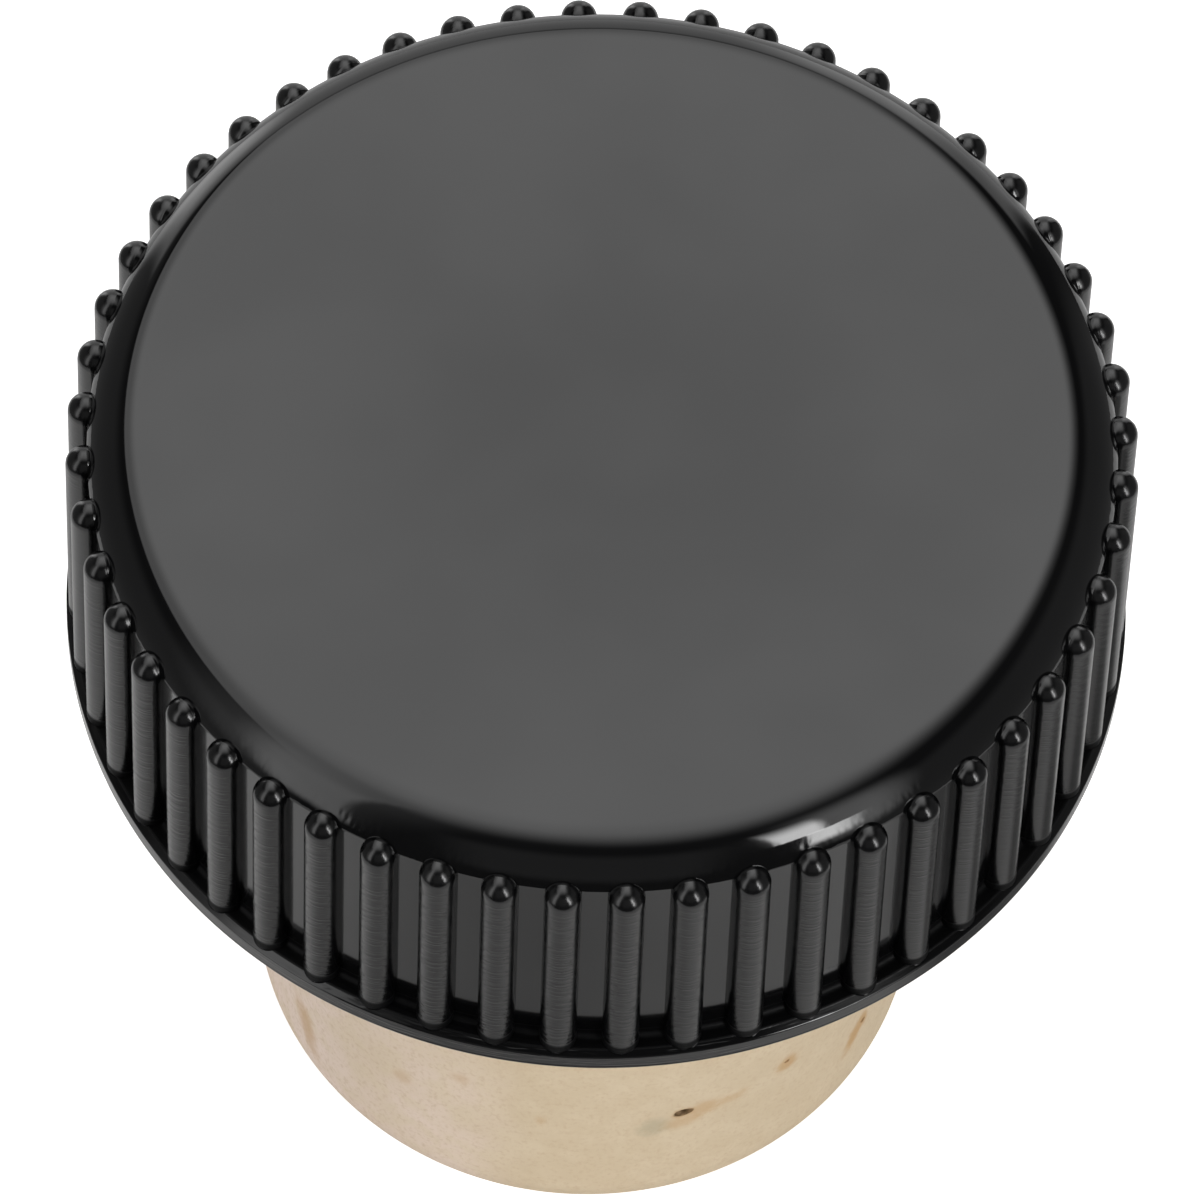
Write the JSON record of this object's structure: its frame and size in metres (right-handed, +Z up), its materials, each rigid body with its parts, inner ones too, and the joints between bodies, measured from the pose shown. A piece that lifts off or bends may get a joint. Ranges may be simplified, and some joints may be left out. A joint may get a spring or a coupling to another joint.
{
  "type": "cork stopper",
  "caption": "Bottle stopper: a plug of natural cork glued under a round, ribbed plastic cap with a rounded shoulder and a thin flange.",
  "frame": {"origin": "centre of the cork's flat free end, which the stopper stands on", "axes": "+Z up the stopper's axis through the cap; +X through one rib"},
  "size_m": [0.029, 0.029, 0.0268],
  "materials": {
    "cap": "black, gloss as moulded",
    "cork": "natural cork, plain and matt"
  },
  "bodies": {
    "root": {"cap": "cap", "cork_shank": "cork"}
  },
  "joints": []
}
